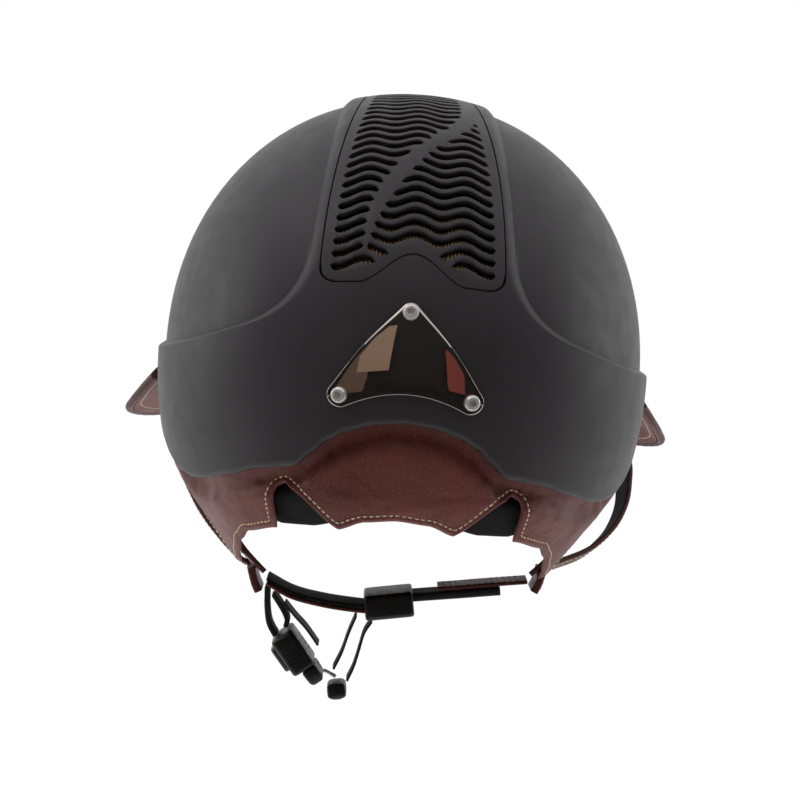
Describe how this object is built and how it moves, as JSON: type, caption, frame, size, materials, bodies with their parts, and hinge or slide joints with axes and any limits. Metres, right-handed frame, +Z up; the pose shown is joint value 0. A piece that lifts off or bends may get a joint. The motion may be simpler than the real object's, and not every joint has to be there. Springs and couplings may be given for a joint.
{
  "type": "equestrian riding helmet",
  "caption": "Vented riding helmet with a leather nape and peak, padded liner, four-point harness and a chin strap with a release buckle.",
  "frame": {"origin": "centre of the head opening, level with the widest part of the shell, where the head sits", "axes": "+Z up to the crown, -Y to the peak at the front, +X to the wearer's left"},
  "size_m": [0.2686, 0.327, 0.2752],
  "materials": {
    "matt_shell": "soft-touch matt black paint",
    "bronze_mesh": "dark woven metal mesh",
    "foam": "moulded black bead foam",
    "pad_fabric": "brushed wicking knit over foam",
    "dark_mirror": "dark polished mirror with a bright bevelled rim",
    "steel": "polished stainless steel",
    "brown_leather": "grained dark red-brown leather with cream stitching",
    "black_lining": "soft black textile lining",
    "black_plastic": "fine-textured moulded nylon",
    "grey_plastic": "satin dark grey moulding",
    "black_webbing": "woven black polyester webbing"
  },
  "bodies": {
    "helmet": {"outer_shell": "matt_shell", "grille_panel": "matt_shell", "grille_mesh": "bronze_mesh", "impact_liner": "foam", "crown_pad": "pad_fabric", "headband": "pad_fabric", "badge_plate": "dark_mirror", "badge_screw_top": "steel", "badge_screw_left": "steel", "badge_screw_right": "steel", "nape_leather": "brown_leather", "nape_lining": "black_lining", "brow_leather": "brown_leather", "peak_core": "black_plastic", "peak_cover_top": "brown_leather", "peak_cover_under": "brown_leather", "peak_piping": "brown_leather", "front_strap_left": "brown_leather", "front_strap_right": "brown_leather", "rear_strap_left": "brown_leather", "rear_strap_right": "brown_leather", "strap_joint_left": "brown_leather", "strap_joint_right": "brown_leather", "strap_anchor_front_left": "black_plastic", "strap_anchor_front_right": "black_plastic", "strap_anchor_rear_left": "black_plastic", "strap_anchor_rear_right": "black_plastic"},
    "chin_strap": {"chin_band": "brown_leather", "chin_lining": "black_lining", "chin_webbing": "black_webbing", "chin_keeper_leather": "brown_leather", "buckle_webbing": "black_webbing", "buckle_webbing_inner": "black_webbing", "webbing_tail": "black_webbing", "buckle_housing": "black_plastic"},
    "slider": {"strap_slider": "black_plastic"},
    "release_button": {"buckle_button": "grey_plastic"},
    "tongue": {"buckle_tongue": "black_plastic", "tongue_pin": "steel", "webbing_end": "black_plastic", "tongue_webbing_rear": "black_webbing", "tongue_webbing_front": "black_webbing"}
  },
  "joints": [
    {"name": "chin_strap_swing", "type": "hinge", "parent": "helmet", "child": "chin_strap", "pos_m": [0, 0.028, -0.09956], "axis": [0.9988, 0, -0.0481], "range_deg": [-60, 35]},
    {"name": "slider_slide", "type": "slide", "parent": "chin_strap", "child": "slider", "axis": [-0.9874, 0, 0.158], "range_m": [0, 0.008]},
    {"name": "button_press", "type": "slide", "parent": "chin_strap", "child": "release_button", "axis": [-0.7848, 0, 0.6198], "range_m": [0, 0.0016], "stiffness_N_per_m": 600, "springref_m": -0.001},
    {"name": "tongue_release", "type": "slide", "parent": "chin_strap", "child": "tongue", "axis": [-0.6198, 0, -0.7848], "range_m": [0, 0.015], "deforming": ["tongue_webbing_rear", "tongue_webbing_front"]}
  ]
}
